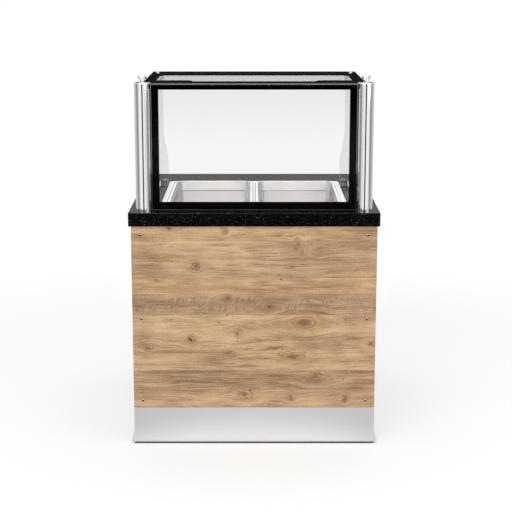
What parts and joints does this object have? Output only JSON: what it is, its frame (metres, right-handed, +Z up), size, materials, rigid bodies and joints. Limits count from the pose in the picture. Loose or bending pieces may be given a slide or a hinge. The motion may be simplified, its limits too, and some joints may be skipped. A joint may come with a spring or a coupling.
{
  "type": "bain marie buffet counter",
  "caption": "Free-standing heated buffet counter: wood-clad steel cabinet, granite worktop, water well with two food pans, and a glass hood on round posts.",
  "frame": {"origin": "on the floor under the middle of the worktop", "axes": "+X along the counter to the guest's right, -Y towards the guest, +Z up"},
  "size_m": [0.918, 0.85, 1.3807],
  "materials": {
    "granite": "polished",
    "wood": "satin",
    "steel_brushed": "brushed",
    "steel_frame": "satin",
    "steel_pan": "satin",
    "steel_bright": "polished",
    "chrome": "polished",
    "glass": "polished",
    "black_print": "gloss",
    "heater": "satin",
    "brass": "satin",
    "nylon": "matte",
    "black_plastic": "satin",
    "red_plastic": "gloss",
    "lamp_lens": "gloss",
    "white_ceramic": "matte"
  },
  "bodies": {
    "cabinet": {"worktop": "granite", "front_panel": "wood", "kick_plate": "steel_brushed", "side_panels": "steel_brushed", "control_fascia": "steel_brushed", "base_shelf": "steel_brushed", "frame_uprights": "steel_frame", "frame_top_rails": "steel_frame", "frame_mid_rail": "steel_frame", "frame_bottom_rails": "steel_frame", "door_pivots": "steel_frame", "bain_marie_well": "steel_pan", "divider_bar": "steel_pan", "front_panel_screws": "steel_bright", "fascia_screws": "steel_bright", "foot_locknuts": "steel_bright", "levelling_feet": "steel_bright", "post_studs": "steel_bright", "drain_pipe": "steel_bright", "hood_posts": "chrome", "post_caps": "chrome", "dome_nuts": "chrome", "base_clamps": "chrome", "roof_clamps": "chrome", "clamp_screws": "chrome", "front_glass": "glass", "side_glasses": "glass", "top_glass": "glass", "front_glass_print": "black_print", "top_glass_print": "black_print", "heating_element": "heater", "thermostat_bulb": "heater", "element_glands": "brass", "drain_fitting": "brass", "drain_locknut": "brass", "drain_valve_body": "brass", "switch_housing": "black_plastic", "pilot_lamp_body": "black_plastic", "cable_gland": "black_plastic", "gland_locknut": "black_plastic", "door_catches": "black_plastic", "pilot_lamp_lens": "lamp_lens", "terminal_block": "white_ceramic", "thermostat": "white_ceramic"},
    "pan_right": {"pan_right": "steel_pan"},
    "pan_left": {"pan_left": "steel_pan"},
    "door_right": {"door_right": "steel_brushed", "door_liner_right": "steel_brushed", "door_handle_right": "steel_bright", "door_bushes_right": "nylon"},
    "door_left": {"door_left": "steel_brushed", "door_liner_left": "steel_brushed", "door_handle_left": "steel_bright", "door_bushes_left": "nylon"},
    "thermostat_knob": {"thermostat_knob": "black_plastic", "thermostat_shaft": "steel_bright"},
    "power_rocker": {"rocker": "red_plastic"},
    "drain_lever": {"drain_valve_ball": "brass", "drain_lever": "steel_bright", "drain_lever_nut": "steel_bright"}
  },
  "joints": [
    {"name": "pan_right_lift", "type": "slide", "parent": "cabinet", "child": "pan_right", "axis": [0, 0, 1], "range_m": [0, 0.2]},
    {"name": "pan_left_lift", "type": "slide", "parent": "cabinet", "child": "pan_left", "axis": [0, 0, 1], "range_m": [0, 0.2]},
    {"name": "door_right_hinge", "type": "hinge", "parent": "cabinet", "child": "door_right", "pos_m": [0.3948, 0.387, 0.37], "axis": [0, 0, -1], "range_deg": [0, 110]},
    {"name": "door_left_hinge", "type": "hinge", "parent": "cabinet", "child": "door_left", "pos_m": [-0.3948, 0.387, 0.37], "axis": [0, 0, 1], "range_deg": [0, 110]},
    {"name": "thermostat_turn", "type": "hinge", "parent": "cabinet", "child": "thermostat_knob", "pos_m": [-0.23, 0.3962, 0.731], "axis": [0, -1, 0], "range_deg": [0, 270]},
    {"name": "rocker_tilt", "type": "hinge", "parent": "cabinet", "child": "power_rocker", "pos_m": [-0.14, 0.395, 0.731], "axis": [-1, 0, 0], "range_deg": [0, 20]},
    {"name": "drain_lever_turn", "type": "hinge", "parent": "cabinet", "child": "drain_lever", "pos_m": [0.268, 0.152, 0.6065], "axis": [0, -1, 0], "range_deg": [0, 90]}
  ]
}
